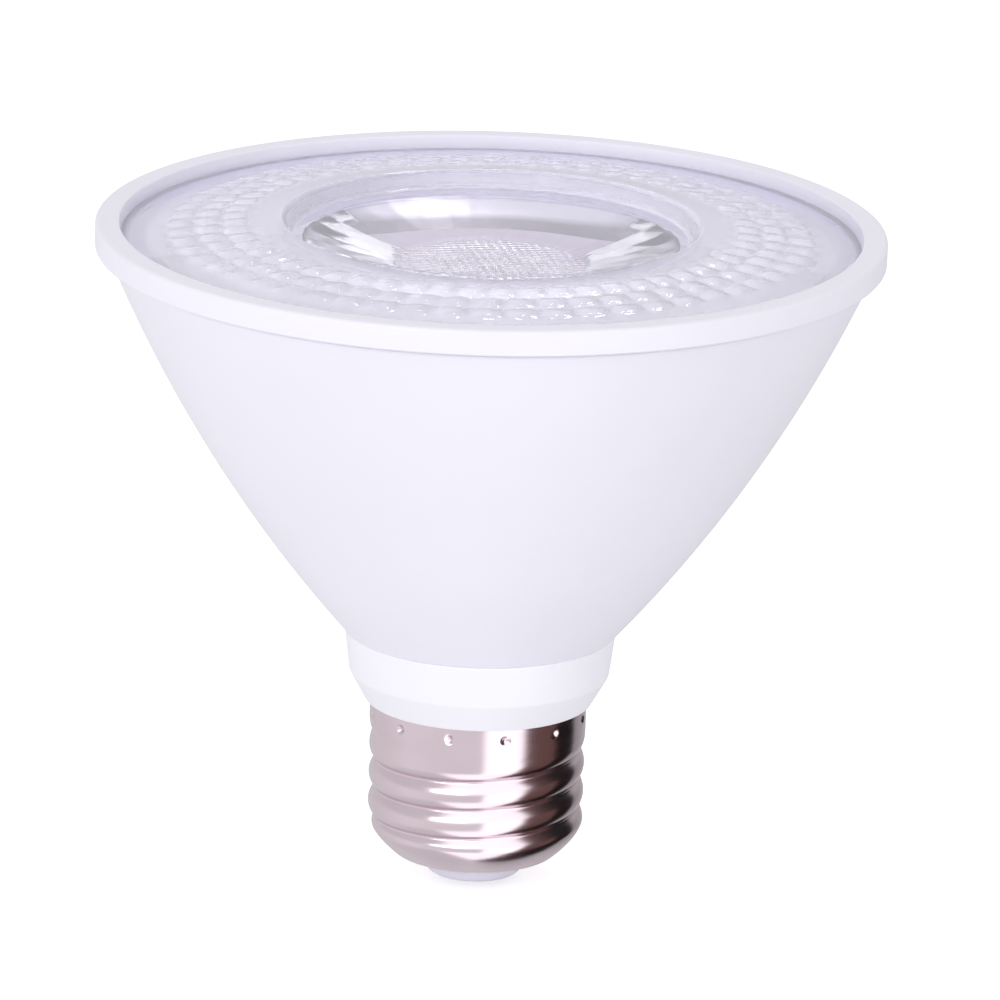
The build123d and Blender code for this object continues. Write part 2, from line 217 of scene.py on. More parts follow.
# Floor and surroundings. A ring is brightness by azimuth, from behind over the left, front and right:
# what upright metal mirrors, what sloping metal mirrors, and what shows through the lens. The first is
# centred as far below the horizon as the camera stands above it.
FLOOR_HALF = 3.0
FLOOR_GLOW = 0.5
FLOOR_ROUGHNESS = 0.9
FLOOR_CLOUDS = 3.0
FLOOR_TONES = (0.92, 0.94)
WASH_LEVEL = 0.95
WASH_LEAN = (0.02, -0.15, -0.28)
CARD = (0.012, 0.009, 0.008)
BROWN = (0.16, 0.09, 0.08)
LEVEL_RING = (
    (0.0, 0.62), (0.12, 0.8), (0.28, 0.97), (0.5, 0.93), (0.515, 0.8), (0.532, 1.9), (0.635, 1.9),
    (0.655, BROWN), (0.75, BROWN), (0.768, CARD), (0.842, CARD), (0.855, 0.38), (0.93, 0.5), (1.0, 0.62),
)
WIDE_RING = (
    (0.0, 0.82), (0.12, 0.75), (0.36, 0.8), (0.4, 1.7), (0.645, 1.7), (0.67, BROWN), (0.768, CARD),
    (0.842, CARD), (0.86, 0.5), (1.0, 0.82),
)
WIDE_RING_FROM = (0.3, 0.5)
LENS_RING = (
    (0.0, 0.85), (0.1, 0.9), (0.335, 0.9), (0.34, 1.4), (0.352, 1.4), (0.357, 0.95), (0.413, 0.95),
    (0.417, 1.4), (0.427, 1.4), (0.431, 0.95), (0.5, 0.95), (0.505, 1.4), (0.515, 1.4), (0.52, 1.2),
    (0.525, 2.6), (0.547, 2.6), (0.553, 1.2), (0.6, 1.2), (0.61, 2.6), (0.645, 2.6), (0.65, 1.2),
    (0.685, 1.2), (0.69, 2.4), (0.706, 2.4), (0.71, 1.2), (0.75, 1.1), (0.9, 0.9), (1.0, 0.85),
)

# Mesh steps, and the colour sockets of a Mix node by their place
SEGMENTS = 192
EDGE_STEPS = 6
MIX_FIRST, MIX_SECOND, MIX_RESULT = 6, 7, 2

# Values that follow from the ones above
ring_z = bowl_top_z - RING_DROP
ring_bore_r = rim_r - RING_SKIRT
lip_r = ring_bore_r - RING_LIP
lens_edge_z = ring_z + LENS_EDGE_H
lens_under_z = ring_z - LENS_SINK
recess_z = ridge_z - RECESS_DEPTH
lens_segments = PILLOWS * LENS_STEPS_PER_PILLOW
sink_z = led_board_z - SINK_T
band_z = collar_z - BAND_H
band_seat_z = band_z + BAND_SEAT_RISE
thread_root_r = THREAD_CREST_R - THREAD_DEPTH
shell_bore_r = thread_root_r - SHELL_WALL
tail_r = shell_bore_r - SLIP
seat_z = collar_z + SEAT_RISE
groove_top_z = band_z + GROOVE_TOP_RISE
level_ring_drop = sin(CAMERA_ELEVATION)


def softened(corners):
    """A closed outline of (radius, height) points, with an arc in each corner that has a third value."""
    points = []
    count = len(corners)
    for i, (r, z, *edge) in enumerate(corners):
        if not edge:
            points.append((r, z))
            continue
        here = Vector((r, z))
        before = (Vector(corners[i - 1][:2]) - here).normalized()
        after = (Vector(corners[(i + 1) % count][:2]) - here).normalized()
        half = before.angle(after) / 2
        reach = edge[0] / tan(half)
        centre = here + (before + after).normalized() * (edge[0] / sin(half))
        first = here + before * reach - centre
        turn = (here + after * reach - centre).angle_signed(first)
        for step in range(EDGE_STEPS + 1):
            points.append(tuple(centre + Matrix.Rotation(turn * step / EDGE_STEPS, 2) @ first))
    return points


def angles_round(count):
    """Angles evenly spread round the axis."""
    return [2 * pi * i / count for i in range(count)]


def hoop(radius, z, count=SEGMENTS):
    """Points round the axis; on the axis they are one point."""
    if radius == 0.0:
        return [(0.0, 0.0, z)]
    return [(radius * cos(a), radius * sin(a), z) for a in angles_round(count)]


def skin(name, rows, node, material, loop=True, patches=()):
    """A smooth closed piece through rows of points, in place of a node of the frame.

    A patch is another material for the faces from one row to another.
    """
    starts = [0]
    for row in rows:
        starts.append(starts[-1] + len(row))
    pairs = [(i, i + 1) for i in range(len(rows) - 1)]
    if loop:
        pairs.append((len(rows) - 1, 0))
    faces, indices = [], []
    for low, high in pairs:
        count = max(len(rows[low]), len(rows[high]))
        index = next((k for k, (_, first, last) in enumerate(patches, 1) if first <= low < last), 0)
        indices += [index] * count
        for i in range(count):
            ring = [(low, i), (low, (i + 1) % count), (high, (i + 1) % count), (high, i)]
            corners = [starts[row] + k % len(rows[row]) for row, k in ring]
            faces.append(tuple(dict.fromkeys(corners)))
    mesh = bpy.data.meshes.new(name)
    mesh.from_pydata([point for row in rows for point in row], [], faces)
    mesh.polygons.foreach_set("material_index", indices)
    shape = bmesh.new()
    shape.from_mesh(mesh)
    bmesh.ops.recalc_face_normals(shape, faces=shape.faces)
    shape.to_mesh(mesh)
    shape.free()
    mesh.shade_smooth()
    for finish in (material, *[patch[0] for patch in patches]):
        mesh.materials.append(finish)
    piece = bpy.data.objects.new(name, mesh)
    bpy.context.scene.collection.objects.link(piece)
    piece.modifiers.new("even_shading", "WEIGHTED_NORMAL")
    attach(piece, "root")
    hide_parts(node)


def turned(name, corners, node, material):
    """A piece of revolution from an outline with soft corners."""
    skin(name, [hoop(r, z) for r, z in softened(corners)], node, material)


class Graph:
    """Shader nodes of a material or of the world, with short ways to add and join them."""

    def __init__(self, owner):
        owner.use_nodes = True
        self.nodes = owner.node_tree.nodes
        self.links = owner.node_tree.links
        self.nodes.clear()

    def add(self, kind, **values):
        node = self.nodes.new("ShaderNode" + kind)
        for socket, value in values.items():
            node.inputs[socket.replace("_", " ")].default_value = value
        return node

    def link(self, start, end):
        self.links.new(start, end)

    def math(self, operation, *values):
        """One operation on sockets and numbers."""
        node = self.add("Math")
        node.operation = operation
        for value, socket in zip(values, node.inputs):
            if isinstance(value, float):
                socket.default_value = value
            else:
                self.link(value, socket)
        return node.outputs["Value"]

    def ramp(self, value, *stops):
        """Colours, or levels of grey, along a value from 0 to 1."""
        node = self.add("ValToRGB")
        self.link(value, node.inputs["Fac"])
        points = node.color_ramp.elements
        while len(points) < len(stops):
            points.new(1.0)
        for point, (position, tone) in zip(points, stops):
            colour = 3 * (tone,) if isinstance(tone, float) else tone
            point.position = position
            point.color = (*colour, 1.0)
        return node.outputs["Color"]

    def span(self, value, low, high, start=0.0, end=1.0):
        """A value carried in proportion from one range to another, and held at its ends."""
        node = self.add("MapRange", From_Min=start, From_Max=end, To_Min=low, To_Max=high)
        self.link(value, node.inputs["Value"])
        return node.outputs["Result"]

    def either(self, choice, first, second):
        """One shader where the choice is 0 and the other where it is 1."""
        node = self.add("MixShader")
        self.link(choice, node.inputs["Fac"])
        self.link(first, node.inputs[1])
        self.link(second, node.inputs[2])
        return node.outputs["Shader"]


class Surface(Graph):
    """A material with one principled shader, and the textures that drive it."""

    def __init__(self, name, **values):
        self.material = bpy.data.materials.new(name)
        super().__init__(self.material)
        self.output = self.add("OutputMaterial")
        self.shader = self.add("BsdfPrincipled", **values)
        self.show(self.shader.outputs["BSDF"])
        self.place = self.add("TexCoord").outputs["Object"]

    def show(self, shader):
        self.link(shader, self.output.inputs["Surface"])

    def noise(self, scale, detail=3.0, stretch=(1.0, 1.0, 1.0)):
        """Noise in the lamp's own frame, with a scale in waves per metre."""
        mapping = self.add("Mapping", Scale=stretch)
        texture = self.add("TexNoise", Scale=scale, Detail=detail)
        self.link(self.place, mapping.inputs["Vector"])
        self.link(mapping.outputs["Vector"], texture.inputs["Vector"])
        return texture.outputs["Fac"]

    def drive(self, socket, source):
        self.link(source, self.shader.inputs[socket])

    def cloud(self, scale, dark, light, detail=4.0):
        """A colour that drifts between a dark and a light tone."""
        drift = self.noise(scale, detail)
        self.drive("Base Color", self.ramp(drift, (CLOUD_LOW, dark), (CLOUD_HIGH, light)))

    def bump(self, *layers):
        """Relief from (height, depth in metres) layers."""
        normal = None
        for height, depth in layers:
            node = self.add("Bump", Distance=depth)
            self.link(height, node.inputs["Height"])
            if normal:
                self.link(normal, node.inputs["Normal"])
            normal = node.outputs["Normal"]
        self.drive("Normal", normal)


def plastic(name, light, dark, gloss=PLASTIC_GLOSS):
    """Moulded plastic with a faint clouding of tone and a fine spark-eroded grain."""
    surface = Surface(name, IOR=PLASTIC_IOR)
    surface.cloud(PLASTIC_CLOUDS, dark, light)
    surface.drive("Roughness", surface.span(surface.noise(PLASTIC_SHEEN), *gloss))
    grain = surface.noise(PLASTIC_GRAIN, detail=2.0)
    waves = surface.noise(PLASTIC_WAVES)
    surface.bump((grain, PLASTIC_GRAIN_DEPTH), (waves, PLASTIC_WAVE_DEPTH))
    return surface.material


def metal(name, light, dark, gloss):
    """Bare or plated metal with fine lines and faint rolled bands round the axis."""
    surface = Surface(name, Metallic=1.0)
    surface.cloud(METAL_CLOUDS, dark, light)
    lines = surface.noise(1.0, detail=4.0, stretch=METAL_LINES)
    dents = surface.noise(METAL_DENTS)
    rolls = surface.noise(1.0, detail=2.0, stretch=METAL_ROLLS)
    surface.drive("Roughness", surface.span(lines, *gloss))
    surface.bump((lines, METAL_LINE_DEPTH), (dents, METAL_DENT_DEPTH), (rolls, METAL_ROLL_DEPTH))
    return surface.material


def dish_metal(name, rim, painted_shade, gloss):
    """Blasted aluminium, with a dark painted shade round the lamp's axis, under the reflector body."""
    surface = Surface(name, Metallic=DISH_METALLIC)
    flat = surface.add("VectorMath")
    flat.operation = "MULTIPLY"
    flat.inputs[1].default_value = (1.0, 1.0, 0.0)
    surface.link(surface.place, flat.inputs[0])
    length = surface.add("VectorMath")
    length.operation = "LENGTH"
    surface.link(flat.outputs["Vector"], length.inputs[0])
    # Painted shade: dark round the axis under the reflector body, with a wavering edge, then the rim's
    # tone
    waver = surface.math("MULTIPLY", surface.noise(DISH_WAVERS), DISH_WAVER_W)
    radius = surface.math("ADD", length.outputs["Value"], waver)
    share = surface.span(radius, 0.0, 1.0, *DISH_SHADE_R)
    surface.drive("Base Color", surface.ramp(share, (0.0, painted_shade), (1.0, rim)))
    surface.drive("Roughness", surface.span(surface.noise(DISH_SHEEN), *gloss))
    surface.bump((surface.noise(DISH_GRAIN, detail=2.0), DISH_GRAIN_DEPTH))
    return surface.material


def clear_plastic(name, gloss, clear=1.0):
    """Clear moulding, polished or frosted, that lets light through to what lies under it."""
    surface = Surface(name, Transmission_Weight=clear, IOR=PLASTIC_IOR, Base_Color=(*LENS_TINT, 1.0))
    surface.drive("Roughness", surface.span(surface.noise(LENS_SHEEN), *gloss))
    surface.bump((surface.noise(LENS_WAVES, detail=2.0), LENS_WAVE_DEPTH))
    shadow = surface.add("LightPath").outputs["Is Shadow Ray"]
    through = surface.add("BsdfTransparent", Color=(*LENS_SHADE, 1.0))
    surface.show(surface.either(shadow, surface.shader.outputs["BSDF"], through.outputs["BSDF"]))
    return surface.material


def bowl_r(z, inset):
    """Radius at a height of the arc that the bowl follows, or of one set in from it by a wall."""
    run = housing_rim_r - HOUSING_FOOT_R
    rise = bowl_top_z - housing_z
    chord = hypot(run, rise)
    radius = chord**2 / (8 * BOWL_SAGITTA) + BOWL_SAGITTA / 2
    back = radius - BOWL_SAGITTA
    centre_r = (HOUSING_FOOT_R + housing_rim_r) / 2 - back * rise / chord
    centre_z = (housing_z + bowl_top_z) / 2 + back * run / chord
    return centre_r + sqrt((radius - inset) ** 2 - (z - centre_z) ** 2)


def bowl_arc(inset, low, high):
    """Points along that arc from one height to another."""
    heights = [low + (high - low) * i / BOWL_ROWS for i in range(BOWL_ROWS + 1)]
    return [(bowl_r(z, inset), z) for z in heights]


def make_housing(material):
    """The bowl, with a ledge inside that carries the heat sink."""
    outside = bowl_arc(0.0, housing_z, ring_z)
    outside[0] = (*outside[0], HOUSING_FOOT_EDGE)
    above_ledge = bowl_arc(HOUSING_WALL, ring_z, sink_z)
    below_ledge = bowl_arc(HOUSING_WALL, sink_z - LEDGE_H, spigot_z)
    ledge_r = below_ledge[0][0] - LEDGE_W
    bore_r = COLLAR_SPIGOT_R + SLIP
    corners = [
        *outside,
        *above_ledge,
        (ledge_r, sink_z),
        (ledge_r, sink_z - LEDGE_H),
        *below_ledge,
        (bore_r, spigot_z),
        (bore_r, housing_z),
    ]
    turned("bowl", corners, "housing", material)


def make_front_ring(material):
    """The ring round the front, with a lip over the edge of the lens."""
    corners = [
        (ring_bore_r, ring_z),
        (rim_r, ring_z, RING_FOOT_EDGE),
        (rim_r, top_z, RING_OUTER_EDGE),
        (lip_r + RING_BEVEL, top_z, RING_INNER_EDGE),
        (lip_r, lens_edge_z),
        (ring_bore_r, lens_edge_z),
    ]
    turned("bezel", corners, "front_ring", material)


def make_neck_collar(material):
    """The neck, with a spigot up into the bowl and a tail down into the screw shell."""
    spigot_in_band_r = BAND_R - SHELL_WALL - SLIP
    spigot_in_band_z = band_seat_z + SLIP
    corners = [
        (tail_r - COLLAR_WALL, tail_z),
        (tail_r, tail_z),
        (tail_r, spigot_in_band_z),
        (spigot_in_band_r, spigot_in_band_z),
        (spigot_in_band_r, collar_z),
        (COLLAR_FOOT_R, collar_z, COLLAR_FOOT_EDGE),
        (COLLAR_WAIST_R, collar_z + COLLAR_FOOT_H, COLLAR_WAIST_EDGE),
        (collar_top_r, housing_z, COLLAR_TOP_EDGE),
        (COLLAR_SPIGOT_R, housing_z),
        (COLLAR_SPIGOT_R, spigot_z),
        (COLLAR_BORE_R, spigot_z),
        (COLLAR_BORE_R, seat_z),
        (tail_r - COLLAR_WALL, seat_z),
    ]
    turned("neck", corners, "neck_collar", material)


def smooth_step(value, low, high):
    """From 0 to 1 between two values, with no corner at either end."""
    t = min(max((value - low) / (high - low), 0.0), 1.0)
    return t * t * (3 - 2 * t)


def shell_core_r(z):
    """The shell before its groove is rolled: a rounded heel, a straight wall and the plain band."""
    along = min((z - shell_z) / HEEL_H, 1.0)
    heel = (THREAD_CREST_R - HEEL_R) * (1 - (1 - along) ** HEEL_POWER)
    step = (BAND_R - THREAD_CREST_R) * smooth_step(z, band_z, band_z + THREAD_PITCH / 2)
    return HEEL_R + heel + step


def groove_drop(angle, z):
    """How far the rolled groove sinks the wall: sharp in the valley and round on the ridges between."""
    lag = ((GROOVE_START_ANGLE - angle) / (2 * pi)) % 1.0
    turns = (groove_top_z - z) / THREAD_PITCH - lag
    turn = max(round(turns), 0)
    half = THREAD_PITCH / 2
    off = min(hypot((turns - turn) * THREAD_PITCH, GROOVE_SOFT), half)
    ridge_r = (half**2 + GROOVE_DEPTH**2) / (2 * GROOVE_DEPTH)
    rise = sqrt(ridge_r**2 - (half - off) ** 2) - (ridge_r - GROOVE_DEPTH)
    fade = smooth_step(2 * pi * (turn + lag), 0.0, GROOVE_FADE)
    fade *= 1 - smooth_step(turn + lag, *GROOVE_END)
    return (GROOVE_DEPTH - rise) * fade


def crimp_drop(angle, z):
    """How far the punched crimp marks sink the band, or a low rim round them raises it."""
    step = 2 * pi / CRIMPS
    across = ((angle - CRIMP_FIRST_ANGLE + step / 2) % step - step / 2) * BAND_R
    away = hypot(across, z - collar_z + CRIMP_DROP) / CRIMP_R
    if away < 1.0:
        return CRIMP_DEPTH * (1 - away**2) ** CRIMP_POWER
    return -CRIMP_RIM * max(1 - abs(away - CRIMP_RIM_AT) / CRIMP_RIM_HALF, 0.0)


def make_screw_shell(material):
    """The threaded shell: rows up the outside, then down its bore."""
    turns = angles_round(SHELL_SEGMENTS)
    low = shell_z + HEEL_EDGE / 2
    rows = []
    for k in range(SHELL_ROWS + 1):
        z = low + (collar_z - low) * k / SHELL_ROWS
        radii = [shell_core_r(z) - groove_drop(a, z) - crimp_drop(a, z) for a in turns]
        rows.append([(r * cos(a), r * sin(a), z) for r, a in zip(radii, turns)])
    inside = [
        (BAND_R - SHELL_WALL, collar_z),
        (BAND_R - SHELL_WALL, band_seat_z),
        (shell_bore_r, band_seat_z),
        (shell_bore_r, shell_z + HEEL_H),
        (HEEL_R - SHELL_WALL, shell_z + 2 * SHELL_WALL),
        (INSULATOR_NECK_R + SLIP, shell_z + 2 * SHELL_WALL),
        (INSULATOR_NECK_R + SLIP, shell_z),
        (HEEL_R - HEEL_EDGE, shell_z),
    ]
    rows += [hoop(r, z, SHELL_SEGMENTS) for r, z in inside]
    skin("screw_base", rows, "screw_shell", material)


def make_base_insulator(material):
    """The button at the bottom, held by a flange inside the shell."""
    inside_z = shell_z + SHELL_WALL
    stem_r = CONTACT_STEM_R + CONTACT_PLAY
    corners = [
        (stem_r, insulator_z),
        (INSULATOR_TIP_R, insulator_z, INSULATOR_EDGE),
        (INSULATOR_NECK_R, shell_z),
        (INSULATOR_NECK_R, inside_z),
        (INSULATOR_FLANGE_R, inside_z),
        (INSULATOR_FLANGE_R, inside_z + INSULATOR_FLANGE_H),
        (stem_r, inside_z + INSULATOR_FLANGE_H),
    ]
    turned("base_button", corners, "base_insulator", material)


def make_centre_contact(material):
    """The contact pin, with a domed head below the button."""
    stem_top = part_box("centre_contact")[1].z
    dome_r = (CONTACT_HEAD_R**2 + CONTACT_DOME**2) / (2 * CONTACT_DOME)
    spread = asin(CONTACT_HEAD_R / dome_r)
    angles = [spread * i / EDGE_STEPS for i in range(1, EDGE_STEPS + 1)]
    dome = [hoop(dome_r * sin(a), dome_r * (1 - cos(a))) for a in angles]
    shank = [
        hoop(CONTACT_HEAD_R, insulator_z),
        hoop(CONTACT_STEM_R, insulator_z),
        hoop(CONTACT_STEM_R, stem_top),
    ]
    rows = [hoop(0.0, 0.0), *dome, *shank, hoop(0.0, stem_top)]
    skin("contact_pin", rows, "centre_contact", material, loop=False)


def pillow_rise(r, angle):
    """Height of the pillow under a point: barrels laid along the radius, with rounded ends."""
    pitch = (PILLOW_OUTER_R - PILLOW_INNER_R) / PILLOW_ROWS
    along = (r - PILLOW_INNER_R) / pitch
    if not 0.0 < along < PILLOW_ROWS:
        return 0.0
    across = angle * PILLOWS / (2 * pi) + PILLOW_SHIFTS[int(along)]
    u = 2 * (along % 1.0) - 1
    v = 2 * (across % 1.0) - 1
    return PILLOW_H * (1 - u**4) * (1 - v * v)


def lens_top_z(r):
    """The shallow cone of the lens, from under the ring's lip up to the ridge."""
    share = (lip_r - r) / (lip_r - RIDGE_R)
    return lens_edge_z + (ridge_z - lens_edge_z) * max(share, 0.0)


def between(start, end, steps):
    """Values from one to another, without the first."""
    return [start + (end - start) * i / steps for i in range(1, steps + 1)]


def facet(angle):
    """Radius of the flat-sided reflector body at an angle, as a share of that at its corners."""
    step = 2 * pi / FACETS
    return cos(step / 2) / cos(angle % step - step / 2)


def lenslet_rise(x, y):
    """Height of the small square lenslets on the tip of the reflector body."""
    along = x * cos(LENSLET_TURN) + y * sin(LENSLET_TURN)
    across = y * cos(LENSLET_TURN) - x * sin(LENSLET_TURN)
    u = 2 * (along / LENSLET_PITCH % 1.0) - 1
    v = 2 * (across / LENSLET_PITCH % 1.0) - 1
    return LENSLET_H * (u * u + v * v) / 2


def lens_tip_row(share):
    """A row of the tip: round near the axis and flat-sided at the edge."""
    row = []
    for a in angles_round(lens_segments):
        r = REFLECTOR_TIP_R * share * facet(a) ** (share**FACET_FADE_POWER)
        x, y = r * cos(a), r * sin(a)
        row.append((x, y, reflector_z + lenslet_rise(x, y)))
    return row


def lens_wall_row(share):
    """A row of the flat-sided wall of the reflector body, which bulges halfway up."""
    z = reflector_z + (lens_under_z - reflector_z) * share
    radius = REFLECTOR_TIP_R + (REFLECTOR_TOP_R - REFLECTOR_TIP_R) * share
    radius += 4 * REFLECTOR_BULGE * share * (1 - share)
    turns = angles_round(lens_segments)
    return [(radius * facet(a) * cos(a), radius * facet(a) * sin(a), z) for a in turns]


def lens_cone_row(r):
    """A row of the cone, with its pillows."""
    turns = angles_round(lens_segments)
    return [(r * cos(a), r * sin(a), lens_top_z(r) + pillow_rise(r, a)) for a in turns]


def lens_rim():
    """Outline from the reflector body out along the underside, and up to the ring's lip."""
    sunk_r = bowl_r(lens_under_z, HOUSING_WALL) - SLIP
    return softened([
        (REFLECTOR_TOP_R + LENS_MILKY_W, lens_under_z),
        (LENS_WELD_R, lens_under_z),
        (sunk_r, lens_under_z, LENS_RIM_EDGE),
        (sunk_r, ring_z),
        (lens_edge_r, ring_z, LENS_RIM_EDGE),
        (lens_edge_r, lens_edge_z),
        (lip_r, lens_edge_z),
    ])


def lens_crown():
    """Outline over the ridge and down into the recess, between the cone and the recess floor."""
    return softened([
        (lip_r, lens_top_z(lip_r)),
        (RIDGE_R, ridge_z, RIDGE_EDGE),
        (RIDGE_R - RIDGE_DRAFT, recess_z, RECESS_EDGE),
        (0.0, recess_z),
    ])[1:-1]


def make_lens(material, milky, frosted, weld, lenslets, hazy, satin):
    """The clear moulding: rows from its tip out to the rim, and back in over the top to the recess."""
    rim, crown = lens_rim(), lens_crown()
    cone_radii = [
        *between(lip_r, PILLOW_OUTER_R + PILLOW_MARGIN, LENS_EDGE_ROWS),
        *between(PILLOW_OUTER_R, PILLOW_INNER_R, PILLOW_ROWS * LENS_STEPS_PER_PILLOW),
        *between(PILLOW_INNER_R - PILLOW_MARGIN, crown[0][0], LENS_RIDGE_ROWS)[:-1],
    ]
    rows = [[(0.0, 0.0, reflector_z)]]
    rows += [lens_tip_row(share) for share in between(0.0, 1.0, LENS_TIP_ROWS)]
    wall_first = len(rows) - 1
    rows += [lens_wall_row(share) for share in between(0.0, 1.0, LENS_WALL_ROWS)]
    rim_first = len(rows) - 1
    rows += [hoop(r, z, lens_segments) for r, z in rim]
    cone_first = len(rows)
    rows += [lens_cone_row(r) for r in cone_radii]
    crown_first = len(rows)
    rows += [hoop(r, z, lens_segments) for r, z in crown]
    rows += [hoop(r, recess_z, lens_segments) for r in between(crown[-1][0], 0.0, LENS_RECESS_ROWS)]
    weld_first = rim_first + 2
    recess_wall = crown_first + EDGE_STEPS
    patches = [
        (lenslets, 0, wall_first),
        (hazy, wall_first, rim_first),
        (milky, rim_first, rim_first + 1),
        (frosted, rim_first + 1, weld_first),
        (weld, weld_first, cone_first),
        (satin, recess_wall, recess_wall + 1),
    ]
    skin("clear_lens", rows, "lens", material, loop=False, patches=patches)


def make_floor():
    """A wide pale floor that the camera sees as white apart from the lamp's soft shadow."""
    mesh = bpy.data.meshes.new("floor")
    corners = [(-1, -1), (1, -1), (1, 1), (-1, 1)]
    mesh.from_pydata([(FLOOR_HALF * x, FLOOR_HALF * y, 0.0) for x, y in corners], [], [(0, 1, 2, 3)])
    floor = bpy.data.objects.new("floor", mesh)
    bpy.context.scene.collection.objects.link(floor)
    surface = Surface("floor_paint", Roughness=FLOOR_ROUGHNESS, Specular_IOR_Level=0.0)
    surface.cloud(FLOOR_CLOUDS, *FLOOR_TONES, detail=3.0)
    camera_ray = surface.add("LightPath").outputs["Is Camera Ray"]
    glow = surface.add("Emission", Color=(1.0, 1.0, 1.0, 1.0))
    surface.link(surface.span(camera_ray, 0.0, FLOOR_GLOW), glow.inputs["Strength"])
    lit = surface.add("AddShader")
    surface.link(surface.shader.outputs["BSDF"], lit.inputs[0])
    surface.link(glow.outputs["Emission"], lit.inputs[1])
    below = surface.add("BsdfTransparent").outputs["BSDF"]
    backfacing = surface.add("NewGeometry").outputs["Backfacing"]
    surface.show(surface.either(backfacing, lit.outputs["Shader"], below))
    mesh.materials.append(surface.material)
    floor.visible_glossy = False


def make_world():
    """Studio surroundings: white to the camera, and a soft wash for matt surfaces.

    Metal mirrors rings of lights and cards, and another ring shows through the lens.
    """
    world = bpy.data.worlds.new("studio")
    bpy.context.scene.world = world
    graph = Graph(world)
    direction = graph.add("TexCoord").outputs["Generated"]
    split = graph.add("SeparateXYZ")
    graph.link(direction, split.inputs["Vector"])
    x, y, z = split.outputs

    lean = graph.add("VectorMath")
    lean.operation = "DOT_PRODUCT"
    lean.inputs[1].default_value = WASH_LEAN
    graph.link(direction, lean.inputs[0])
    wash = graph.add("Background", Color=(1.0, 1.0, 1.0, 1.0))
    graph.link(graph.math("ADD", lean.outputs["Value"], WASH_LEVEL), wash.inputs["Strength"])

    azimuth = graph.math("ARCTAN2", x, graph.math("MULTIPLY", y, -1.0))
    turn = graph.span(azimuth, 0.0, 1.0, -pi, pi)
    level_ring = graph.ramp(turn, *LEVEL_RING)
    wide_ring = graph.ramp(turn, *WIDE_RING)
    off_level = graph.math("ABSOLUTE", graph.math("ADD", z, level_ring_drop))
    rings = graph.add("Mix")
    rings.data_type = "RGBA"
    graph.link(graph.span(off_level, 0.0, 1.0, *WIDE_RING_FROM), rings.inputs["Factor"])
    graph.link(level_ring, rings.inputs[MIX_FIRST])
    graph.link(wide_ring, rings.inputs[MIX_SECOND])
    studio = graph.add("Background")
    graph.link(rings.outputs[MIX_RESULT], studio.inputs["Color"])
    window = graph.add("Background")
    graph.link(graph.ramp(turn, *LENS_RING), window.inputs["Color"])

    white = graph.add("Background", Color=(1.0, 1.0, 1.0, 1.0), Strength=1.0)
    path = graph.add("LightPath").outputs
    lit = graph.either(path["Is Glossy Ray"], wash.outputs["Background"], studio.outputs["Background"])
    lit = graph.either(path["Is Transmission Ray"], lit, window.outputs["Background"])
    shown = graph.either(path["Is Camera Ray"], lit, white.outputs["Background"])
    graph.link(shown, graph.add("OutputWorld").inputs["Surface"])


def make_lamp(name, azimuth, elevation, distance, size, power, mirrored=True, seen_through=True):
    """A soft light that faces the lamp; azimuth 0 is on the camera's side, 90 on the right.

    One that isn't mirrored stays out of reflections, and one that isn't seen through stays out of
    what the lens shows.
    """
    light = bpy.data.lights.new(name, "AREA")
    light.shape = "RECTANGLE"
    light.size, light.size_y = size
    light.energy = power
    lamp = bpy.data.objects.new(name, light)
    bpy.context.scene.collection.objects.link(lamp)
    a, e = radians(azimuth), radians(elevation)
    back = Vector((sin(a) * cos(e), -cos(a) * cos(e), sin(e)))
    lamp.location = CAMERA_TARGET + back * distance
    lamp.rotation_euler = (-back).to_track_quat("-Z", "Y").to_euler()
    lamp.visible_glossy = mirrored
    lamp.visible_transmission = seen_through


def make_camera():
    """The camera at the photograph's place, with its roll."""
    camera = bpy.data.cameras.new("camera")
    camera.sensor_width = CAMERA_SENSOR
    camera.lens = CAMERA_LENS
    eye = bpy.data.objects.new("camera", camera)
    bpy.context.scene.collection.objects.link(eye)
    back = Vector((0.0, -cos(CAMERA_ELEVATION), sin(CAMERA_ELEVATION)))
    eye.location = CAMERA_TARGET + back * CAMERA_DISTANCE
    level = (-back).to_track_quat("-Z", "Y").to_matrix()
    eye.rotation_euler = (level @ Matrix.Rotation(CAMERA_ROLL, 3, "Z")).to_euler()
    bpy.context.scene.camera = eye


# Outer pieces
make_front_ring(plastic("ring_plastic", WHITE_LIGHT, WHITE_DARK))
make_housing(plastic("bowl_plastic", WHITE_LIGHT, WHITE_DARK))
make_neck_collar(plastic("neck_plastic", (0.94, 0.93, 1.0), (0.92, 0.91, 0.985)))
make_screw_shell(metal("nickel", (0.70, 0.59, 0.65), (0.66, 0.555, 0.61), gloss=(0.14, 0.24)))
make_base_insulator(plastic("button_plastic", (0.86, 0.84, 0.97), (0.83, 0.81, 0.94)))
make_centre_contact(metal("contact_plate", (0.75, 0.72, 0.66), (0.62, 0.58, 0.52), gloss=(0.25, 0.4)))
make_lens(
    clear_plastic("lens_plastic", gloss=(0.015, 0.04)),
    milky=clear_plastic("milky_plastic", gloss=(0.42, 0.5), clear=0.3),
    frosted=clear_plastic("frosted_plastic", gloss=(0.42, 0.5), clear=0.85),
    weld=clear_plastic("weld_plastic", gloss=(0.5, 0.6), clear=0.55),
    lenslets=clear_plastic("lenslet_plastic", gloss=(0.1, 0.16)),
    hazy=clear_plastic("hazy_plastic", gloss=(0.005, 0.01), clear=0.86),
    satin=clear_plastic("satin_plastic", gloss=(0.3, 0.38), clear=0.75),
)
